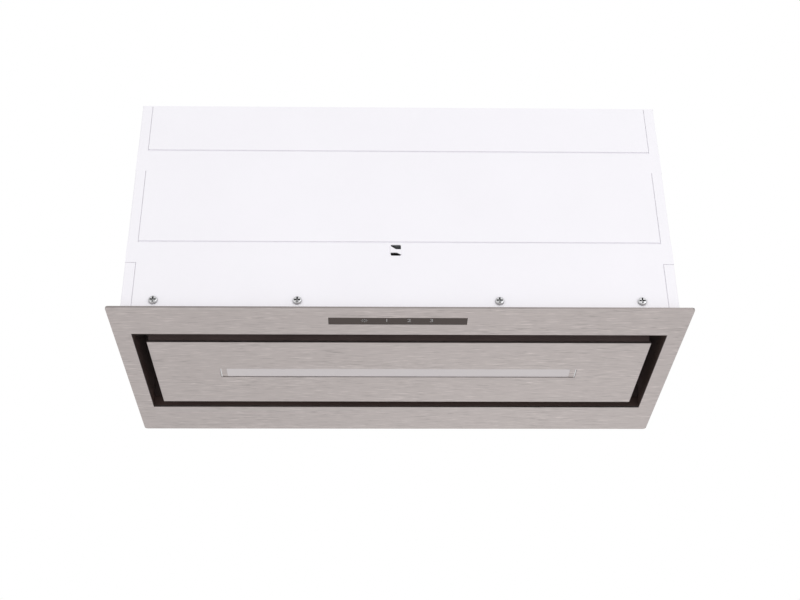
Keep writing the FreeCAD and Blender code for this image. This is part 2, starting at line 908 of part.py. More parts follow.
def filter_latch():
    """A sliding bar with a tongue at the front and a finger tab at the rear."""
    bar = block(centred(latch_width), (latch_front, latch_rear), (latch_under, latch_top))
    tab = block(
        centred(latch_width), (latch_rear - latch_tab_thickness, latch_rear),
        (latch_under - latch_tab_drop, latch_top))
    return bar.fuse(tab).removeSplitter()


# Blower

def axle_drum(radius, start_x, end_x):
    """A cylinder on the blower's axis."""
    return drum(radius, (start_x, blower_y, blower_z), (end_x, blower_y, blower_z))


def scroll_area(grow, x_span, top):
    """The scroll's section, grown by a wall and drawn along X: three quarter arcs and the mouth above."""
    x = x_span[0]

    def at(y, z):
        return Vector(x, y, z)

    def arc(centre_y, centre_z, radius, start, end):
        turns = [math.radians(start), math.radians((start + end) / 2), math.radians(end)]
        points = [at(centre_y + radius * math.cos(t), centre_z + radius * math.sin(t)) for t in turns]
        return Part.Arc(*points).toShape()

    front_radius = scroll_front_radius + grow
    tongue = 90 + math.degrees(math.asin(grow / front_radius))
    arcs = [
        arc(blower_y, blower_z, front_radius, tongue, 180),
        arc(scroll_floor_y, blower_z, scroll_floor_radius + grow, 180, 270),
        arc(scroll_floor_y, scroll_rear_z, scroll_rear_radius + grow, 270, 360),
    ]
    start = arcs[0].valueAt(arcs[0].FirstParameter)
    rear = scroll_rear_y + grow
    mouth = [at(rear, scroll_rear_z), at(rear, top), at(blower_y - grow, top), start]
    lines = [Part.makeLine(a, b) for a, b in zip(mouth, mouth[1:])]
    wire = Part.Wire(Part.__sortEdges__(arcs + lines))
    return Part.Face(wire).extrude(Vector(x_span[1] - x, 0, 0))


scroll_top = casing_top - casing_sheet


def scroll_wrap():
    x_span = (-scroll_x, scroll_x)
    return scroll_area(scroll_sheet, x_span, scroll_top).cut(scroll_area(0, x_span, scroll_top))


def scroll_side():
    """The right side plate, with the wheel's inlet and a foot on the tray."""
    x_span = (scroll_x, plate_x)
    plate = scroll_area(scroll_sheet, x_span, scroll_top)
    stand_y = centred(scroll_foot_length, blower_y)
    stand = block(x_span, stand_y, (tray_top, blower_z))
    foot = block((scroll_x, scroll_x + scroll_foot_width), stand_y, (tray_top, tray_top + scroll_sheet))
    inlet = axle_drum(inlet_radius, scroll_x - overrun, plate_x + overrun)
    return plate.fuse([stand, foot]).cut(inlet).removeSplitter()


def inlet_ring():
    """A bellmouth on the right side plate, its lip inside the inlet."""
    outside = plate_x + inlet_ring_depth
    ring = axle_drum(inlet_radius + inlet_ring_width, plate_x, outside)
    neck = axle_drum(inlet_radius - seat_gap, scroll_x, plate_x)
    bore = axle_drum(inlet_radius - inlet_ring_lip, scroll_x - overrun, outside + overrun)
    return ring.fuse(neck).cut(bore).removeSplitter()


def wheel_ring(inner, x_span):
    return axle_drum(wheel_radius, *x_span).cut(axle_drum(inner, *x_span))


def wheel_blade():
    """A leaning blade at the wheel's rim, as long as the wheel is wide."""
    lean = math.cos(math.radians(wheel_blade_angle))
    blade = block((-wheel_x, wheel_x), centred(wheel_blade_depth / lean), centred(wheel_blade_thickness))
    blade.rotate(Vector(0, 0, 0), Vector(1, 0, 0), wheel_blade_angle)
    blade.translate(Vector(0, blower_y + wheel_radius - wheel_blade_depth / 2, blower_z))
    return blade


def fan_wheel():
    rim_inner = wheel_radius - wheel_blade_depth
    rings = [
        wheel_ring(rim_inner, (-wheel_x, wheel_ring_thickness - wheel_x)),
        wheel_ring(rim_inner, (wheel_x - wheel_ring_thickness, wheel_x)),
    ]
    disc = wheel_ring(wheel_hub_radius, centred(wheel_disc_thickness))
    hub = axle_drum(wheel_hub_radius, *centred(wheel_hub_length))
    axis = (Vector(0, blower_y, blower_z), Vector(1, 0, 0))
    step = 360 / wheel_blade_count
    blades = [wheel_blade().rotate(*axis, step * index) for index in range(wheel_blade_count)]
    bore = axle_drum(shaft_radius + fixed_fit, -wheel_x, wheel_x)
    rim = wheel_ring(rim_inner, (-wheel_x, wheel_x))
    trimmed = [blade.common(rim) for blade in blades]
    return disc.fuse(rings + [hub] + trimmed).cut(bore).removeSplitter()


def motor_shaft():
    return axle_drum(shaft_radius, motor_right - shaft_reach, wheel_hub_length / 2 + motor_wheel_gap)


def motor_body():
    """The motor's can, with a bearing boss and the shaft's bore."""
    can = axle_drum(motor_radius, motor_left, motor_right - motor_bearing_length)
    boss = axle_drum(motor_bearing_radius, motor_left, motor_right)
    bore = axle_drum(
        shaft_radius + running_fit, motor_right - shaft_reach - seat_gap, motor_right + overrun)
    return can.fuse(boss).cut(bore).removeSplitter()


def bush_places():
    turns = [math.radians(angle) for angle in bush_angles]
    return [
        (blower_y + bush_circle_radius * math.cos(turn), blower_z + bush_circle_radius * math.sin(turn))
        for turn in turns
    ]


def motor_bracket():
    """A spider behind the motor: a hub plate and three arms out to the bushes."""
    back = motor_left - bracket_sheet
    hub = axle_drum(bracket_hub_radius, back, motor_left)
    arms = []
    for angle in bush_angles:
        length = bush_circle_radius + bush_radius
        arm = block((back, motor_left), (0, length), centred(bracket_arm_width))
        arm.rotate(Vector(0, 0, 0), Vector(1, 0, 0), angle)
        arm.translate(Vector(0, blower_y, blower_z))
        arms.append(arm)
    return hub.fuse(arms).removeSplitter()


def motor_bushes():
    return [drum(bush_radius, (motor_left, y, z), (-plate_x, y, z)) for y, z in bush_places()]


# Electrical pieces

def terminal_box():
    outer = block(
        centred(terminal_box_width, terminal_box_x), centred(terminal_box_depth, terminal_box_y),
        (tray_top, tray_top + terminal_box_height))
    hollow = block(
        centred(terminal_box_width - 2 * terminal_box_wall, terminal_box_x),
        centred(terminal_box_depth - 2 * terminal_box_wall, terminal_box_y),
        (tray_top + terminal_box_wall, tray_top + terminal_box_height + overrun))
    return outer.cut(hollow)


def terminal_lid():
    low = tray_top + terminal_box_height
    return block(
        centred(terminal_box_width, terminal_box_x), centred(terminal_box_depth, terminal_box_y),
        (low, low + terminal_lid_thickness))


def terminal_block():
    low = tray_top + terminal_box_wall
    return block(
        centred(terminal_block_width, terminal_box_x),
        centred(terminal_block_depth, terminal_box_y), (low, low + terminal_block_height))


def run_capacitor():
    return drum(
        capacitor_radius, (capacitor_x, capacitor_y, tray_top),
        (capacitor_x, capacitor_y, tray_top + capacitor_length))


def hexagon(radius, low, height):
    turns = [math.pi * index / 3 for index in range(6)]
    points = [(gland_x + radius * math.cos(t), gland_y + radius * math.sin(t), low) for t in turns]
    return prism(points, (0, 0, height))


def gland_drum(radius, low, high):
    return drum(radius, (gland_x, gland_y, low), (gland_x, gland_y, high))


def cable_gland():
    """The gland's body above the lid and its nut below, both on one bore."""
    thread_end = casing_top - gland_thread_length
    body = hexagon(gland_head_radius, casing_top, gland_head_height)
    body = body.fuse(gland_drum(gland_thread_radius, thread_end, casing_top))
    head_top = casing_top + gland_head_height
    body = body.cut(gland_drum(gland_bore_radius, thread_end - overrun, head_top + overrun))
    nut_top = casing_top - casing_sheet
    nut_under = nut_top - gland_nut_height
    nut = hexagon(gland_head_radius, nut_under, gland_nut_height)
    nut = nut.cut(gland_drum(gland_thread_radius + fixed_fit, nut_under - overrun, nut_top + overrun))
    return [body.removeSplitter(), nut]


# Duct collar and damper

def collar_drum(radius, low, high):
    return drum(radius, (0, collar_y, low), (0, collar_y, high))


flap_under = damper_z - damper_flap_thickness / 2
stop_top = flap_under - seat_gap


def rod_bore(radius):
    reach = collar_radius - damper_rod_end_gap
    return drum(radius, (-reach, collar_y, damper_z), (reach, collar_y, damper_z))


def collar_flange():
    """The ring under the collar that screws it to the lid."""
    ring = collar_drum(collar_radius + collar_flange_width, casing_top, collar_foot)
    return ring.cut([collar_drum(collar_inner, casing_top, collar_foot)] + collar_holes)


def duct_collar():
    """A spigot on its flange, with a ring inside for the flaps to rest on."""
    tube = collar_drum(collar_radius, collar_foot, collar_top)
    stop_low = stop_top - damper_stop_thickness
    bores = [
        collar_drum(collar_inner, collar_foot - overrun, stop_low),
        collar_drum(collar_inner - damper_stop_width, collar_foot - overrun, collar_top),
        collar_drum(collar_inner, stop_top, collar_top + overrun),
    ]
    return tube.cut(bores + [rod_bore(damper_rod_radius + fixed_fit)])


def damper_rod():
    return rod_bore(damper_rod_radius)


def knuckle(middle, radius, grow=0):
    x_span = centred(damper_knuckle_length + 2 * grow, middle)
    return drum(radius, (x_span[0], collar_y, damper_z), (x_span[1], collar_y, damper_z))


def damper_flap(side, own_middles, other_middles):
    """A half disc on one side of the rod, with knuckles of its own and cut clear of the other's."""
    z_span = (flap_under, flap_under + damper_flap_thickness)
    disc = collar_drum(collar_inner - damper_flap_gap, *z_span)
    root = knuckle_radius + damper_root_gap
    reach = sorted((collar_y + side * root, collar_y + side * collar_radius))
    half = disc.common(block((-collar_radius, collar_radius), reach, z_span))
    webs = []
    for middle in own_middles:
        y_span = sorted((collar_y, collar_y + side * (root + damper_root_gap)))
        web = block(centred(damper_knuckle_length, middle), y_span, z_span)
        webs += [web, knuckle(middle, knuckle_radius)]
    clear = [knuckle(middle, root, damper_root_gap) for middle in other_middles]
    bore = rod_bore(damper_rod_radius + running_fit)
    return half.fuse(webs).cut(clear + [bore]).removeSplitter()


front_knuckles = (-2 * damper_knuckle_pitch, damper_knuckle_pitch)
rear_knuckles = (-damper_knuckle_pitch, 2 * damper_knuckle_pitch)


def main():
    os.makedirs("parts", exist_ok=True)
    screw = pan_screw()

    save("trim_frame", trim_frame())
    save("front_frame_angle", front_angle())
    save("rear_frame_angle", rear_angle())

    save("front_lower_panel", front_lower_panel())
    save("front_middle_panel", front_middle_panel())
    save("front_upper_panel", front_upper_panel())
    save("right_side_panel", right_side_panel())
    save("left_side_panel", mirrored(right_side_panel()))
    save("back_panel", back_panel())
    save("top_panel", top_panel())

    save("front_edge_screws", *[placed(screw, point, front_way) for point in edge_screw_points(front_face)])
    back_points = edge_screw_points(back_face) + back_screw_points()
    save("back_panel_screws", *[placed(screw, point, back_way) for point in back_points])
    sides = [(side, point) for side in (-1, 1) for point in side_screw_points(side)]
    save("side_panel_screws", *[placed(screw, point, (side, 0, 0)) for side, point in sides])
    save("collar_screws", *[placed(screw, point, up_way) for point in collar_screw_points()])

    save("touch_glass", touch_glass())
    save("control_board", control_board())
    save("control_housing", control_housing())

    save("collector_tray", collector_tray())
    save("panel_skin", panel_skin())
    save("panel_back_pan", panel_back_pan())
    save("light_lens", light_lens())
    save("light_channel", light_channel())
    save("light_board", light_board())

    save("right_hinge_ear", hinge_ear())
    save("left_hinge_ear", mirrored(hinge_ear()))
    save("right_hinge_bracket", hinge_bracket())
    save("left_hinge_bracket", mirrored(hinge_bracket()))
    save("hinge_pins", *pair(hinge_pin()))
    save("strike_plates", *pair(strike_plate()))
    save("magnet_catches", *pair(magnet_catch()))
    save("catch_magnets", *pair(catch_magnet()))

    save("filter_frame", filter_frame())
    save("filter_mesh", *filter_mesh())
    save("filter_ledge", filter_ledge())
    save("latch_catch", latch_catch())
    save("latch_guide", latch_guide())
    save("filter_latch", filter_latch())

    save("scroll_wrap", scroll_wrap())
    save("scroll_right_side", scroll_side())
    save("scroll_left_side", mirrored(scroll_side()))
    save("inlet_rings", *pair(inlet_ring()))
    save("fan_wheel", fan_wheel())
    save("motor_shaft", motor_shaft())
    save("motor_body", motor_body())
    save("motor_bracket", motor_bracket())
    save("motor_bushes", *motor_bushes())

    save("terminal_box", terminal_box())
    save("terminal_lid", terminal_lid())
    save("terminal_block", terminal_block())
    save("run_capacitor", run_capacitor())
    save("cable_gland", *cable_gland())

    save("duct_collar", duct_collar())
    save("collar_flange", collar_flange())
    save("damper_rod", damper_rod())
    save("front_damper_flap", damper_flap(-1, front_knuckles, rear_knuckles))
    save("rear_damper_flap", damper_flap(1, rear_knuckles, front_knuckles))


main()
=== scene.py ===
"""Looks of a built-in range hood: finishes, touch icons, lens caps, woven filter wire and a plain studio.

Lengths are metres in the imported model's frame: X to the right, -Y to the front, +Z up.
"""
import json
import math

import bmesh
import bpy
from mathutils import Matrix, Vector


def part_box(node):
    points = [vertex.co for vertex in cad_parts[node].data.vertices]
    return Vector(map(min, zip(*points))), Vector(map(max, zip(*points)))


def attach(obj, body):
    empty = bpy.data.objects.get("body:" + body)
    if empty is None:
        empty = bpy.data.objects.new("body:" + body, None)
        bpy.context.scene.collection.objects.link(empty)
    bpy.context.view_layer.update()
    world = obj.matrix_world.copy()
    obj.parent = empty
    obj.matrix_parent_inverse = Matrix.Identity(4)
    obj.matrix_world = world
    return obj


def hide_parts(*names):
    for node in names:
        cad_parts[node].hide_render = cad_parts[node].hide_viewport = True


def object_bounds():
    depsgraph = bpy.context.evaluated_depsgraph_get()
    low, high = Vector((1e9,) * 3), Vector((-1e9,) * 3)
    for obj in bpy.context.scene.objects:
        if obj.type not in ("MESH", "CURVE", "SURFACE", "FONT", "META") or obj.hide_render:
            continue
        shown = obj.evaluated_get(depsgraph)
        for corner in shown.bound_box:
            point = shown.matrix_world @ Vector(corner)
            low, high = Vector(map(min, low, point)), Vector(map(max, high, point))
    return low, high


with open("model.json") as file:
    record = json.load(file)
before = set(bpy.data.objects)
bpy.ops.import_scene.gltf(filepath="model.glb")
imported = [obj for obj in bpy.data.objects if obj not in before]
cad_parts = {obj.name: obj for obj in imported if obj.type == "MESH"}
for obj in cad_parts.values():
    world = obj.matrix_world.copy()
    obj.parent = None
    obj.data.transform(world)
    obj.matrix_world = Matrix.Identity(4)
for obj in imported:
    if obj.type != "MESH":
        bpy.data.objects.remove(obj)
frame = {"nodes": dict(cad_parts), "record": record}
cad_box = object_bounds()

nodes = frame["nodes"]
MM = 0.001

# Camera of the photograph: place, turn and focal length in pixels of an 800 pixel wide image
IMAGE_WIDTH = 800
FOCAL_PIXELS = 1320.285
SENSOR_WIDTH_MM = 36.0
CAMERA_FROM_FRAME = Vector((-27.22, -1123.72, -587.86)) * MM
CAMERA_PITCH = math.radians(30.797)
CAMERA_YAW = math.radians(1.487)
CAMERA_ROLL = math.radians(0.576)
CAMERA_REACH = 50.0

# Studio: a floor well below the hood, white all round, and lamps with their power in watts
FLOOR_DROP = 1.5
FLOOR_SIZE = 60.0
FLOOR_COLOUR = (0.78, 0.78, 0.78)
WHITE = (1.0, 1.0, 1.0, 1.0)
AMBIENT_STRENGTH = 0.93
LAMPS = {
    "key": {"place": (1.4, -2.6, 0.7), "target": (0, 0, 0.1), "size": 1.8, "power": 14},
    "fill": {"place": (-1.6, -2.2, -0.4), "target": (0, 0, 0.1), "size": 1.8, "power": 5},
    "back": {"place": (0.6, 2.4, 1.2), "target": (0, 0, 0.1), "size": 1.8, "power": 8},
    "low": {"place": (0.5, 2.6, -0.55), "target": (0, 0, 0.0), "size": 1.4, "power": 1},
}

# Touch icons, printed on the underside of the glass; the shares are of an icon's height
ICON_PITCH = 20.0 * MM
ICON_HEIGHT = 5.4 * MM
ICON_SETBACK = 5.0 * MM
ICON_DEPTH = 0.05 * MM
ICON_STROKE = 0.45 * MM
ICON_COLOUR = (0.35, 0.34, 0.34)
DIGIT_SHARE = 1.4
LAMP_DISC_SHARE = 0.22
LAMP_DISC_SIDES = 14
LAMP_RAYS = 8
LAMP_RAY_SHARES = (0.36, 0.5)
SPEEDS = (1, 2, 3)

# Places of a noise factor at which its usual dark and bright tones stand
NOISE_LOW = 0.3
NOISE_HIGH = 0.7
NOISE_ENDS = (NOISE_LOW, NOISE_HIGH)

# Brushed steel, and the painted shade of its cut and folded edges and other faces that look to a side,
# against its faces
STEEL = (0.557, 0.502, 0.488)
STEEL_ROUGHNESS = 0.36
SIDE_PAINTED_SHADE_SHARE = 0.5

# Marks of the brushing per metre along X, Y and Z, and their tones as shares of the steel's
STROKES = (46, 620, 620)
STROKE_SHARES = (0.94, 0.985, 1.015, 1.065)
STROKE_PLACES = (NOISE_LOW, 0.45, 0.55, NOISE_HIGH)
FLECKS = (80, 950, 950)
FLECK_SHARES = (0.62, 0.985, 1.015, 1.42)
FLECK_PLACES = (0.27, 0.41, 0.59, 0.73)
FLECKED_SHARES = (0.25, 0.85)
CLOUDS = (9, 30, 30)
HAIRLINES = (25, 3200, 3200)
HAIRLINE_DEPTH = 0.04 * MM
METAL_GLOSS_SPREAD = 0.06

# Zinc plating of brackets, pins and screws, and the painted shade that darkens the hollows of a screw's head
ZINC = (0.56, 0.56, 0.57)
ZINC_CLOUDS = (420, 420, 420)
SCREW_PAINTED_SHADE_SHARE = 0.16
SCREW_PAINTED_SHADE_REACH = 3.0 * MM

# Sprayed, plated and moulded surfaces: mottling per metre, spread of the gloss and depth of the grain
COAT_CLOUDS = (14, 14, 14)
COAT_GLOSS_SPREAD = 0.05
GRAIN_DEPTH = 0.05 * MM

# Zinc crystals and circuit tracks per metre
SPANGLES = (140, 140, 140)
TRACKS = (160, 320, 320)

# Inside of the hood: its paint, a darker non-metallic tone for the frame's lips, and the level where that
# starts
INSIDE_PAINT = (0.13, 0.095, 0.091)
LIP_DARK_TONE = (0.088, 0.058, 0.052)
LIP_SPECULAR = 0.2
LIP_LEVEL = 0.4 * MM
LIP_BLEND = 0.2 * MM

# End caps of the light's lens
LENS_HIDDEN = 4.3 * MM
CAP_LENGTH = 5.8 * MM
CAP_DEPTH = 0.2 * MM
CAP_RIDGE = 0.8 * MM
CAP_RIDGE_DEPTH = 0.4 * MM
RIDGE_COLOUR = (0.9, 0.9, 0.91)
CAP_BEVEL = 0.06 * MM

# Woven wire of the grease filter, whose wires rise and fall by a share of their thickness
WIRE_PITCH = 4.0 * MM
WIRE_THICKNESS = 0.55 * MM
WIRE_RISE_SHARE = 0.4
WIRE_LAYERS = 3


# Materials

def node_tree(name):
    material = bpy.data.materials.new(name)
    material.use_nodes = True
    tree = material.node_tree
    return material, tree, tree.nodes["Principled BSDF"]


def scaled_place(tree, scale):
    """Object coordinates in metres, stretched by a scale on each axis."""
    coordinates = tree.nodes.new("ShaderNodeTexCoord")
    mapping = tree.nodes.new("ShaderNodeMapping")
    mapping.inputs["Scale"].default_value = scale
    tree.links.new(coordinates.outputs["Object"], mapping.inputs["Vector"])
    return mapping.outputs["Vector"]


def noise(tree, scale, detail=4.0, roughness=0.55):
    texture = tree.nodes.new("ShaderNodeTexNoise")
    texture.inputs["Scale"].default_value = 1.0
    texture.inputs["Detail"].default_value = detail
    texture.inputs["Roughness"].default_value = roughness
    tree.links.new(scaled_place(tree, scale), texture.inputs["Vector"])
    return texture.outputs["Fac"]


def ramp(tree, factor, stops):
    """Colours along a factor, as (place, colour) stops."""
    blend = tree.nodes.new("ShaderNodeValToRGB")
    elements = blend.color_ramp.elements
    while len(elements) < len(stops):
        elements.new(1.0)
    for element, (place, colour) in zip(elements, stops):
        element.position = place
        element.color = (*colour, 1.0)
    tree.links.new(factor, blend.inputs["Fac"])
    return blend.outputs["Color"]


def spread(tree, factor, low, high, start=NOISE_LOW, end=NOISE_HIGH):
    """A factor's middle range, spread between two values."""
    block = tree.nodes.new("ShaderNodeMapRange")
    block.inputs["From Min"].default_value = start
    block.inputs["From Max"].default_value = end
    block.inputs["To Min"].default_value = low
    block.inputs["To Max"].default_value = high
    tree.links.new(factor, block.inputs["Value"])
    return block.outputs["Result"]


def bump(tree, height, strength, distance):
    block = tree.nodes.new("ShaderNodeBump")
    block.inputs["Strength"].default_value = strength
    block.inputs["Distance"].default_value = distance
    tree.links.new(height, block.inputs["Height"])
    return block.outputs["Normal"]


def shade(colour, share):
    return tuple(channel * share for channel in colour)


def mixed(tree, factor, first, second):
    """A mix of two colour sockets by a factor socket."""
    block = tree.nodes.new("ShaderNodeMix")
    block.data_type = "RGBA"
    tree.links.new(factor, block.inputs["Factor"])
    tree.links.new(first, block.inputs["A"])
    tree.links.new(second, block.inputs["B"])
    return block.outputs["Result"]


def facing(tree):
    """How far a face looks up or down rather than to a side, from 0 to 1."""
    coordinates = tree.nodes.new("ShaderNodeTexCoord")
    split = tree.nodes.new("ShaderNodeSeparateXYZ")
    tree.links.new(coordinates.outputs["Normal"], split.inputs["Vector"])
    size = tree.nodes.new("ShaderNodeMath")
    size.operation = "ABSOLUTE"
    tree.links.new(split.outputs["Z"], size.inputs[0])
    return spread(tree, size.outputs["Value"], 0.0, 1.0, start=0.3, end=0.8)


def tones(tree, factor, colour, shares, places=NOISE_ENDS):
    """A colour darkened and brightened along a noise factor, by shares at places of the factor."""
    return ramp(tree, factor, [(place, shade(colour, share)) for place, share in zip(places, shares)])


def uneven_gloss(tree, factor, rough, spread_by):
    """A roughness that varies to both sides of a middle value along a noise factor."""
    return spread(tree, factor, rough - spread_by, rough + spread_by)


def above(tree, level, blend):
    """0 below a level of the object's own height and 1 above it."""
    coordinates = tree.nodes.new("ShaderNodeTexCoord")
    split = tree.nodes.new("ShaderNodeSeparateXYZ")
    tree.links.new(coordinates.outputs["Object"], split.inputs["Vector"])
    return spread(tree, split.outputs["Z"], 0.0, 1.0, start=level - blend, end=level + blend)


def brushed_steel(name, inside=None):
    """Stainless sheet brushed along X: short strokes and flecks in tone and gloss, with painted shade on its
    cut edges and other faces that look to a side.

    Where an inside colour is given, the lips above the sheet take that colour in place of the steel's, and
    are not metallic.
    """
    material, tree, shader = node_tree(name)
    strokes = noise(tree, STROKES, detail=3.0, roughness=0.6)
    flecks = noise(tree, FLECKS, detail=1.0, roughness=0.5)
    cloud = noise(tree, CLOUDS, detail=2.0)
    hairline = noise(tree, HAIRLINES, detail=3.0)
    even = tones(tree, strokes, STEEL, STROKE_SHARES, STROKE_PLACES)
    marked = tones(tree, flecks, STEEL, FLECK_SHARES, FLECK_PLACES)
    sheet = mixed(tree, spread(tree, cloud, *FLECKED_SHARES), even, marked)
    # Painted shade: faces that look to a side, such as cut and folded edges, take half the steel's tone in
    # place of a darker reflection
    painted_side_shade = tones(tree, hairline, shade(STEEL, SIDE_PAINTED_SHADE_SHARE), shares=(0.9, 1.1))
    surface = mixed(tree, facing(tree), painted_side_shade, sheet)
    shader.inputs["Metallic"].default_value = 1.0
    if inside:
        lips = above(tree, LIP_LEVEL, LIP_BLEND)
        lip_tone = tones(tree, cloud, inside, shares=(0.9, 1.1))
        surface = mixed(tree, lips, surface, lip_tone)
        tree.links.new(spread(tree, lips, 1.0, 0.0, start=0.0, end=1.0), shader.inputs["Metallic"])
        shader.inputs["Specular IOR Level"].default_value = LIP_SPECULAR
    tree.links.new(surface, shader.inputs["Base Color"])
    gloss = uneven_gloss(tree, strokes, STEEL_ROUGHNESS, METAL_GLOSS_SPREAD)
    tree.links.new(gloss, shader.inputs["Roughness"])
    tree.links.new(bump(tree, hairline, strength=0.2, distance=HAIRLINE_DEPTH), shader.inputs["Normal"])
    return material


def hollows(tree, reach):
    """How open a point lies to its surroundings within a reach, from 0 in a hollow to 1 on a plain face."""
    block = tree.nodes.new("ShaderNodeAmbientOcclusion")
    block.inputs["Distance"].default_value = reach
    return spread(tree, block.outputs["AO"], 0.0, 1.0, start=0.35, end=0.95)


def plated_screw(name, rough):
    """Zinc-plated steel, with painted shade in the recess and round the rim of each screw's head."""
    material, tree, shader = node_tree(name)
    cloud = noise(tree, ZINC_CLOUDS, detail=3.0)
    unshaded_zinc = tones(tree, cloud, ZINC, shares=(0.85, 1.0, 1.12), places=(NOISE_LOW, 0.5, NOISE_HIGH))
    painted_hollow_shade = tones(tree, cloud, shade(ZINC, SCREW_PAINTED_SHADE_SHARE), shares=(0.7, 1.3))
    # Painted shade: the zinc turns darker where ambient occlusion finds a hollow, as in the head's recess
    # and round its rim
    tree.links.new(mixed(tree, hollows(tree, SCREW_PAINTED_SHADE_REACH), painted_hollow_shade, unshaded_zinc), shader.inputs["Base Color"])
    tree.links.new(uneven_gloss(tree, cloud, rough, METAL_GLOSS_SPREAD), shader.inputs["Roughness"])
    shader.inputs["Metallic"].default_value = 1.0
    return material


def coat(name, colour, rough, grain, relief, metallic=0.0, spread_share=0.04, specular=0.5):
    """A sprayed, plated or moulded surface: slight mottling, uneven gloss and a fine grain."""
    material, tree, shader = node_tree(name)
    cloud = noise(tree, COAT_CLOUDS, detail=3.0)
    fine = noise(tree, (grain, grain, grain), detail=2.0)
    tone = tones(tree, cloud, colour, shares=(1 - spread_share, 1 + spread_share))
    tree.links.new(tone, shader.inputs["Base Color"])
    tree.links.new(uneven_gloss(tree, cloud, rough, COAT_GLOSS_SPREAD), shader.inputs["Roughness"])
    tree.links.new(bump(tree, fine, strength=relief, distance=GRAIN_DEPTH), shader.inputs["Normal"])
    shader.inputs["Metallic"].default_value = metallic
    shader.inputs["Specular IOR Level"].default_value = specular
    return material


def galvanised(name, colour):
    """Zinc spangle: crystal cells that differ in tone and gloss."""
    material, tree, shader = node_tree(name)
    cells = tree.nodes.new("ShaderNodeTexVoronoi")
    cells.inputs["Scale"].default_value = 1.0
    tree.links.new(scaled_place(tree, SPANGLES), cells.inputs["Vector"])
    grey = tree.nodes.new("ShaderNodeRGBToBW")
    tree.links.new(cells.outputs["Color"], grey.inputs["Color"])
    tone = tones(tree, grey.outputs["Val"], colour, shares=(0.82, 1.12), places=(0.2, 0.8))
    tree.links.new(tone, shader.inputs["Base Color"])
    tree.links.new(spread(tree, grey.outputs["Val"], low=0.3, high=0.5), shader.inputs["Roughness"])
    shader.inputs["Metallic"].default_value = 1.0
    return material


def circuit(name, colour):
    """Solder mask over a grid of tracks."""
    material, tree, shader = node_tree(name)
    tracks = tree.nodes.new("ShaderNodeTexBrick")
    tracks.inputs["Scale"].default_value = 1.0
    tracks.inputs["Color1"].default_value = (*colour, 1.0)
    tracks.inputs["Color2"].default_value = (*shade(colour, 1.2), 1.0)
    tracks.inputs["Mortar"].default_value = (*shade(colour, 1.9), 1.0)
    tracks.inputs["Mortar Size"].default_value = 0.04
    tree.links.new(scaled_place(tree, TRACKS), tracks.inputs["Vector"])
    tree.links.new(tracks.outputs["Color"], shader.inputs["Base Color"])
    cloud = noise(tree, (60, 60, 60))
    tree.links.new(spread(tree, cloud, low=0.3, high=0.42), shader.inputs["Roughness"])
    return material


def finishes():
    """One material for each of the record's slots."""
    return {
        "stainless": brushed_steel("stainless"),
        "white_paint": coat("white_paint", (0.884, 0.868, 0.91), rough=0.42, grain=1300, relief=0.08,
                            spread_share=0.008),
        "zinc": coat("zinc", ZINC, rough=0.32, grain=1500, relief=0.06, metallic=1.0, spread_share=0.08),
        "dark_paint": coat("dark_paint", INSIDE_PAINT, rough=0.5, grain=1600, relief=0.2, spread_share=0.15),
        "galvanised": galvanised("galvanised", (0.4, 0.41, 0.42)),
        "touch_glass": coat("touch_glass", (0.041, 0.023, 0.017), rough=0.2, grain=300, relief=0.01,
                            spread_share=0.06, specular=0.33),
        "opal": coat("opal", (0.665, 0.62, 0.627), rough=0.3, grain=900, relief=0.02, spread_share=0.02),
        "aluminium": coat("aluminium", (0.72, 0.72, 0.73), rough=0.34, grain=1500, relief=0.1, metallic=1.0),
        "circuit": circuit("circuit", (0.02, 0.11, 0.05)),
        "magnet": coat("magnet", (0.5, 0.5, 0.52), rough=0.22, grain=900, relief=0.03, metallic=1.0),
        "black_plastic": coat("black_plastic", (0.024, 0.024, 0.026), rough=0.5, grain=2600, relief=0.35,
                              spread_share=0.12),
        "cream_plastic": coat("cream_plastic", (0.7, 0.66, 0.55), rough=0.45, grain=1800, relief=0.1),
        "motor_coat": coat("motor_coat", (0.1, 0.1, 0.11), rough=0.4, grain=1500, relief=0.12),
        "rubber": coat("rubber", (0.02, 0.02, 0.02), rough=0.75, grain=1200, relief=0.3, spread_share=0.15),
    }


def dress(materials, special):
    """Every CAD node takes the finish of its slot, or a special one of its own."""
    for row in frame["record"]["subparts"]:
        piece = nodes[row["node"]]
        piece.data.materials.clear()
        piece.data.materials.append(special.get(row["node"], materials[row["material_slot"]]))


# Pieces

def add_piece(name, mesh, material, body):
    piece = bpy.data.objects.new(name, mesh)
    bpy.context.scene.collection.objects.link(piece)
    piece.data.materials.clear()
    piece.data.materials.append(material)
    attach(piece, body)
    return piece


def stroke(shape, points, closed=False):
    """A flat line of even width through points on the icon's plane."""
    if closed:
        points = points + points[:1]
    for start, end in zip(points, points[1:]):
        along = (end - start).normalized()
        across = Vector((-along.y, along.x)) * ICON_STROKE / 2
        reach = along * ICON_STROKE / 2
        near = start - reach
        far = end + reach
        corners = [near - across, far - across, far + across, near + across]
        shape.faces.new([shape.verts.new((corner.x, corner.y, 0.0)) for corner in corners])


def ring_points(radius, count):
    """Points spaced evenly round a circle."""
    angles = [2 * math.pi * index / count for index in range(count)]
    return [Vector((radius * math.cos(angle), radius * math.sin(angle))) for angle in angles]


def lamp_icon(shape, height):
    """A small disc with rays, for the light."""
    stroke(shape, ring_points(height * LAMP_DISC_SHARE, LAMP_DISC_SIDES), closed=True)
    for way in ring_points(1.0, LAMP_RAYS):
        stroke(shape, [way * height * share for share in LAMP_RAY_SHARES])


def digit_mesh(digit):
    """A digit of the built-in font, flat and centred."""
    curve = bpy.data.curves.new(f"digit_{digit}", "FONT")
    curve.body = str(digit)
    curve.align_x = "CENTER"
    curve.align_y = "CENTER"
    curve.size = ICON_HEIGHT * DIGIT_SHARE
    holder = bpy.data.objects.new(f"digit_{digit}", curve)
    mesh = bpy.data.meshes.new_from_object(holder)
    bpy.data.objects.remove(holder)
    return mesh


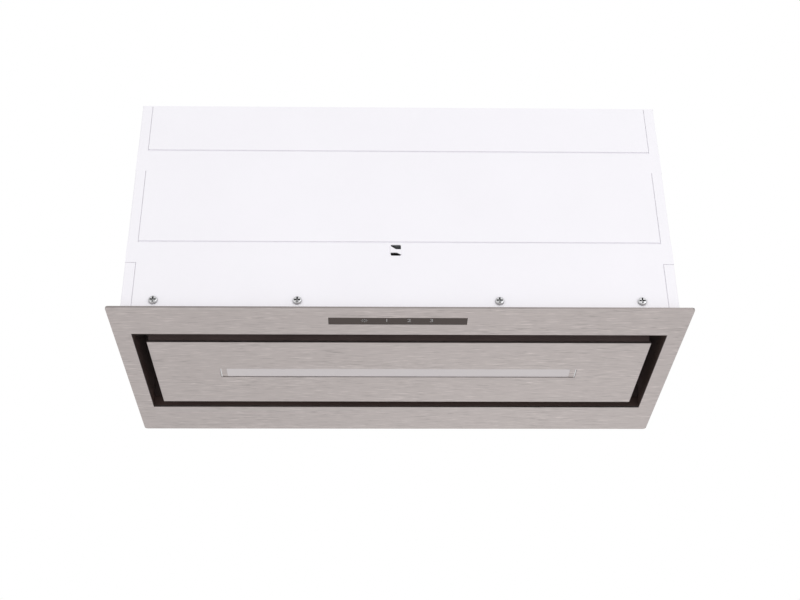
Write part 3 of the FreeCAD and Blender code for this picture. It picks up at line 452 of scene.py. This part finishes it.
def raise_flat(mesh, depth):
    """A flat outline given a small thickness."""
    shape = bmesh.new()
    shape.from_mesh(mesh)
    faces = bmesh.ops.extrude_face_region(shape, geom=shape.faces[:])["geom"]
    moved = [item for item in faces if isinstance(item, bmesh.types.BMVert)]
    bmesh.ops.translate(shape, verts=moved, vec=(0, 0, depth))
    bmesh.ops.recalc_face_normals(shape, faces=shape.faces[:])
    shape.to_mesh(mesh)
    shape.free()


def touch_icons(material):
    """A lamp and the digits 1 to 3 on the glass, read from below with their tops to the front."""
    low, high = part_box("touch_glass")
    line_y = low.y + ICON_SETBACK
    middle_x = (low.x + high.x) / 2
    shape = bmesh.new()
    lamp_icon(shape, ICON_HEIGHT)
    lamp_mesh = bpy.data.meshes.new("icon_lamp")
    shape.to_mesh(lamp_mesh)
    shape.free()
    icons = {"icon_lamp": lamp_mesh}
    for digit in SPEEDS:
        icons[f"icon_speed_{digit}"] = digit_mesh(digit)
    turn = Matrix.Rotation(math.pi, 4, "X")
    for index, (name, mesh) in enumerate(icons.items()):
        x = middle_x + (index - (len(icons) - 1) / 2) * ICON_PITCH
        raise_flat(mesh, ICON_DEPTH)
        mesh.transform(Matrix.Translation((x, line_y, low.z)) @ turn)
        add_piece(name, mesh, material, "hood")


def rounded_block(name, low, high, bevel):
    """A block between two corners, with rounded edges."""
    shape = bmesh.new()
    place = Matrix.Translation((low + high) / 2) @ Matrix.Diagonal((*(high - low), 1.0))
    bmesh.ops.create_cube(shape, size=1.0, matrix=place)
    bmesh.ops.bevel(shape, geom=shape.edges[:], offset=bevel, segments=2, profile=0.5, affect="EDGES")
    mesh = bpy.data.meshes.new(name)
    shape.to_mesh(mesh)
    shape.free()
    return mesh


def lens_caps(plain, bright):
    """A steel cap on each end of the lens, with a polished ridge at its outer end."""
    low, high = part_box("light_lens")
    front = low.y + LENS_HIDDEN
    rear = high.y - LENS_HIDDEN
    ends = {"left": (low.x + LENS_HIDDEN, 1), "right": (high.x - LENS_HIDDEN, -1)}
    for name, (end, inward) in ends.items():
        for kind, length, depth, material, slot in (
                ("cap", CAP_LENGTH, CAP_DEPTH, plain, "stainless"),
                ("ridge", CAP_RIDGE, CAP_RIDGE_DEPTH, bright, "aluminium")):
            reach = sorted((end, end + inward * length))
            lowest = Vector((reach[0], front, low.z - depth))
            highest = Vector((reach[1], rear, low.z))
            mesh = rounded_block(f"lens_{kind}_{name}", lowest, highest, CAP_BEVEL)
            add_piece(f"lens_{kind}_{name}", mesh, material, "panel")


def woven_layer(level, low, high, shift):
    """A layer of crossing wires, as the edges of a lattice of diamonds."""
    shape = bmesh.new()
    columns = int((high.x - low.x) / WIRE_PITCH)
    rows = int((high.y - low.y) / WIRE_PITCH)
    step = Vector(((high.x - low.x) / columns, (high.y - low.y) / rows))
    grid = {}

    def corner(column, row):
        key = (column, row)
        if key not in grid:
            rise = WIRE_THICKNESS * WIRE_RISE_SHARE * (1 if (column + row) % 4 < 2 else -1)
            x = low.x + column * step.x / 2
            y = low.y + row * step.y / 2
            grid[key] = shape.verts.new((x, y, level + rise))
        return grid[key]

    for column in range(1 + shift, 2 * columns, 2):
        for row in range(1, 2 * rows, 2):
            around = [(column - 1, row), (column, row - 1), (column + 1, row), (column, row + 1)]
            if all(0 <= c <= 2 * columns and 0 <= r <= 2 * rows for c, r in around):
                shape.faces.new([corner(*place) for place in around])
    mesh = bpy.data.meshes.new("weave")
    shape.to_mesh(mesh)
    shape.free()
    return mesh


def filter_weave(material):
    """Layers of woven wire in place of the filter's plain sheets."""
    low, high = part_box("filter_mesh")
    room = high.z - low.z - 2 * WIRE_THICKNESS
    joined = bmesh.new()
    for index in range(WIRE_LAYERS):
        level = low.z + WIRE_THICKNESS + room * index / (WIRE_LAYERS - 1)
        joined.from_mesh(woven_layer(level, low, high, index % 2))
    mesh = bpy.data.meshes.new("filter_weave")
    joined.to_mesh(mesh)
    joined.free()
    weave = add_piece("filter_weave", mesh, material, "hood")
    wires = weave.modifiers.new("wires", "WIREFRAME")
    wires.thickness = WIRE_THICKNESS
    wires.use_even_offset = False
    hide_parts("filter_mesh")


# Studio

def camera():
    """The photograph's camera, set from the frame's visible face."""
    flat = math.cos(CAMERA_PITCH)
    forward = Vector((math.sin(CAMERA_YAW) * flat, math.cos(CAMERA_YAW) * flat, math.sin(CAMERA_PITCH)))
    level = Vector((math.cos(CAMERA_YAW), -math.sin(CAMERA_YAW), 0.0))
    fall = forward.cross(level)
    right = level * math.cos(CAMERA_ROLL) + fall * math.sin(CAMERA_ROLL)
    down = fall * math.cos(CAMERA_ROLL) - level * math.sin(CAMERA_ROLL)
    data = bpy.data.cameras.new("camera")
    data.sensor_width = SENSOR_WIDTH_MM
    data.lens = SENSOR_WIDTH_MM * FOCAL_PIXELS / IMAGE_WIDTH
    data.clip_end = CAMERA_REACH
    lens = bpy.data.objects.new("camera", data)
    face_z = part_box("trim_frame")[0].z
    turn = Matrix((right, -down, -forward)).transposed().to_4x4()
    lens.matrix_world = Matrix.Translation(CAMERA_FROM_FRAME + Vector((0, 0, face_z))) @ turn
    bpy.context.scene.collection.objects.link(lens)
    bpy.context.scene.camera = lens


def lamp(name, place, target, size, power):
    data = bpy.data.lights.new(name, "AREA")
    data.shape = "DISK"
    data.size = size
    data.energy = power
    light = bpy.data.objects.new(name, data)
    light.location = place
    light.rotation_euler = (Vector(target) - Vector(place)).to_track_quat("-Z", "Y").to_euler()
    bpy.context.scene.collection.objects.link(light)


def white_world():
    """White where it is seen, mirrored or looked through, and a plain ambient light elsewhere."""
    world = bpy.data.worlds.new("studio")
    world.use_nodes = True
    tree = world.node_tree
    tree.nodes.clear()
    path = tree.nodes.new("ShaderNodeLightPath")
    seen = path.outputs["Is Camera Ray"]
    for ray in ("Is Glossy Ray", "Is Transmission Ray"):
        either = tree.nodes.new("ShaderNodeMath")
        either.operation = "MAXIMUM"
        tree.links.new(seen, either.inputs[0])
        tree.links.new(path.outputs[ray], either.inputs[1])
        seen = either.outputs["Value"]
    ambient = tree.nodes.new("ShaderNodeBackground")
    ambient.inputs["Color"].default_value = WHITE
    ambient.inputs["Strength"].default_value = AMBIENT_STRENGTH
    white = tree.nodes.new("ShaderNodeBackground")
    white.inputs["Color"].default_value = WHITE
    white.inputs["Strength"].default_value = 1.0
    mix = tree.nodes.new("ShaderNodeMixShader")
    output = tree.nodes.new("ShaderNodeOutputWorld")
    tree.links.new(seen, mix.inputs["Fac"])
    tree.links.new(ambient.outputs["Background"], mix.inputs[1])
    tree.links.new(white.outputs["Background"], mix.inputs[2])
    tree.links.new(mix.outputs["Shader"], output.inputs["Surface"])
    bpy.context.scene.world = world


def floor():
    shape = bmesh.new()
    bmesh.ops.create_grid(shape, x_segments=1, y_segments=1, size=FLOOR_SIZE / 2)
    mesh = bpy.data.meshes.new("floor")
    shape.to_mesh(mesh)
    shape.free()
    mesh.transform(Matrix.Translation((0, 0, cad_box[0][2] - FLOOR_DROP)))
    piece = bpy.data.objects.new("floor", mesh)
    bpy.context.scene.collection.objects.link(piece)
    finish = coat("floor", FLOOR_COLOUR, rough=0.7, grain=60, relief=0.02, spread_share=0.01)
    mesh.materials.append(finish)


def studio():
    camera()
    white_world()
    floor()
    for name, settings in LAMPS.items():
        lamp(name, **settings)
    bpy.context.scene.view_settings.view_transform = "Standard"


materials = finishes()
screw_zinc = plated_screw("screw_zinc", rough=0.26)
special = {name: screw_zinc for name in nodes if name.endswith("_screws")}
special["trim_frame"] = brushed_steel("frame_steel", inside=LIP_DARK_TONE)
dress(materials, special)
touch_icons(coat("icon_print", ICON_COLOUR, rough=0.4, grain=900, relief=0.02, spread_share=0.05))
polished = coat("polished", RIDGE_COLOUR, rough=0.14, grain=900, relief=0.02, metallic=1.0)
lens_caps(materials["stainless"], polished)
filter_weave(materials["aluminium"])
studio()
